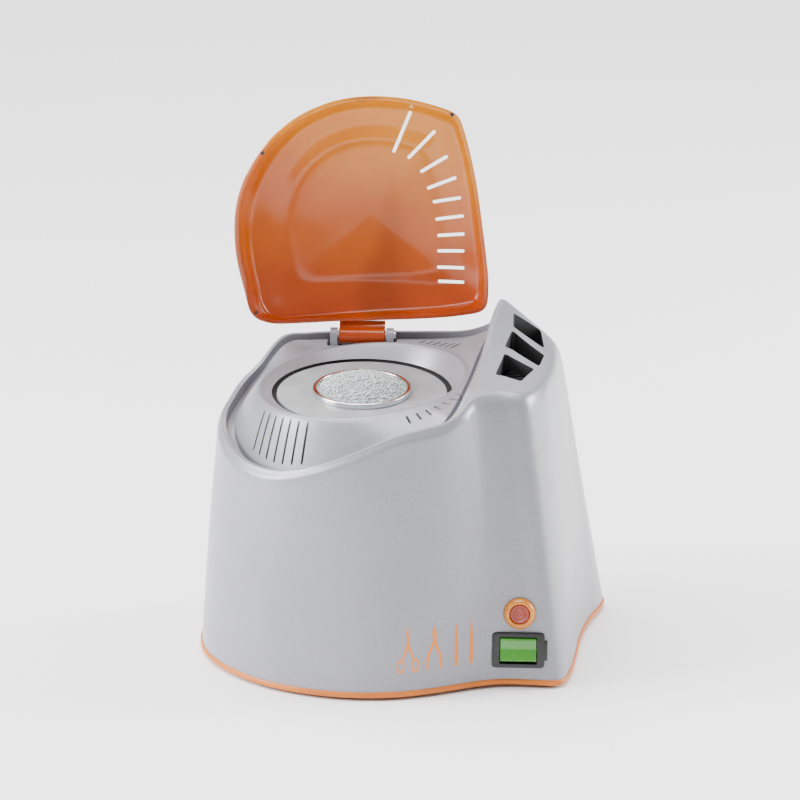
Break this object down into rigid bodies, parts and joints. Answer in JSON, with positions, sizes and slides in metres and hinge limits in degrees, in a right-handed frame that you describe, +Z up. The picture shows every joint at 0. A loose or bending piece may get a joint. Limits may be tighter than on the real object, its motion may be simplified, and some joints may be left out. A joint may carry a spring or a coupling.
{
  "type": "bead steriliser",
  "caption": "Desk-top heated bead steriliser for small instruments, grey drum housing with orange hinged lid standing open.",
  "frame": {"origin": "middle of the bounding box at the surface it stands on", "axes": "+Z up, -Y the front with the rocker switch, +X the side with the vent windows"},
  "size_m": [0.2084, 0.1624, 0.2745],
  "materials": {
    "shell_grey": "satin, faint metallic paint",
    "trim_orange": "satin",
    "inner_black": "matte",
    "foot_rubber": "matte",
    "zinc": "zinc plated",
    "lid_amber": "translucent, gloss",
    "plate_steel": "brushed",
    "cup_chrome": "polished",
    "bead_glass": "small clear and white beads",
    "band_brass": "satin",
    "sleeve_fibre": "felted fibre",
    "can_steel": "plain sheet",
    "phenolic": "matte",
    "switch_black": "satin",
    "rocker_green": "translucent, gloss",
    "contact_brass": "bright",
    "lamp_amber": "translucent, gloss",
    "lamp_red": "translucent, gloss",
    "block_white": "satin",
    "wire_brown": "satin",
    "wire_blue": "satin",
    "wire_green": "satin",
    "wire_white": "woven sleeve",
    "wire_grey": "satin"
  },
  "bodies": {
    "base": {"housing": "shell_grey", "base_trim": "trim_orange", "base_plate": "inner_black", "feet": "foot_rubber", "base_screws": "zinc", "vent_screen": "inner_black", "hinge_pin": "zinc", "hinge_bracket": "shell_grey", "hinge_screws": "zinc", "well_plate": "plate_steel", "bead_cup": "cup_chrome", "quartz_beads": "bead_glass", "heater_band": "band_brass", "heater_clamp": "zinc", "insulation": "sleeve_fibre", "heater_can": "can_steel", "can_legs": "zinc", "can_screws": "zinc", "thermostat": "phenolic", "thermostat_bracket": "zinc", "thermal_fuse": "phenolic", "switch_frame": "switch_black", "switch_terminals": "contact_brass", "lamp_bezel": "lamp_amber", "lamp_lens": "lamp_red", "lamp_nut": "inner_black", "inlet": "switch_black", "inlet_pins": "contact_brass", "inlet_screws": "zinc", "terminal_block": "block_white", "terminal_screws": "zinc", "earth_stud": "zinc", "wire_live": "wire_brown", "wire_neutral": "wire_blue", "wire_earth": "wire_green", "heater_leads": "wire_white", "lamp_leads": "wire_grey"},
    "lid": {"lid": "lid_amber", "lid_tongue": "lid_amber", "lid_buffers": "foot_rubber"},
    "rocker": {"switch_rocker": "rocker_green"}
  },
  "joints": [
    {"name": "lid_hinge", "type": "hinge", "parent": "base", "child": "lid", "pos_m": [-0.02416, 0.05602, 0.148], "axis": [1, 0, 0], "range_deg": [0, 100]},
    {"name": "switch_rocker_hinge", "type": "hinge", "parent": "base", "child": "rocker", "pos_m": [0.05885, -0.05651, 0.01945], "axis": [1, 0, 0], "range_deg": [0, 20]}
  ]
}
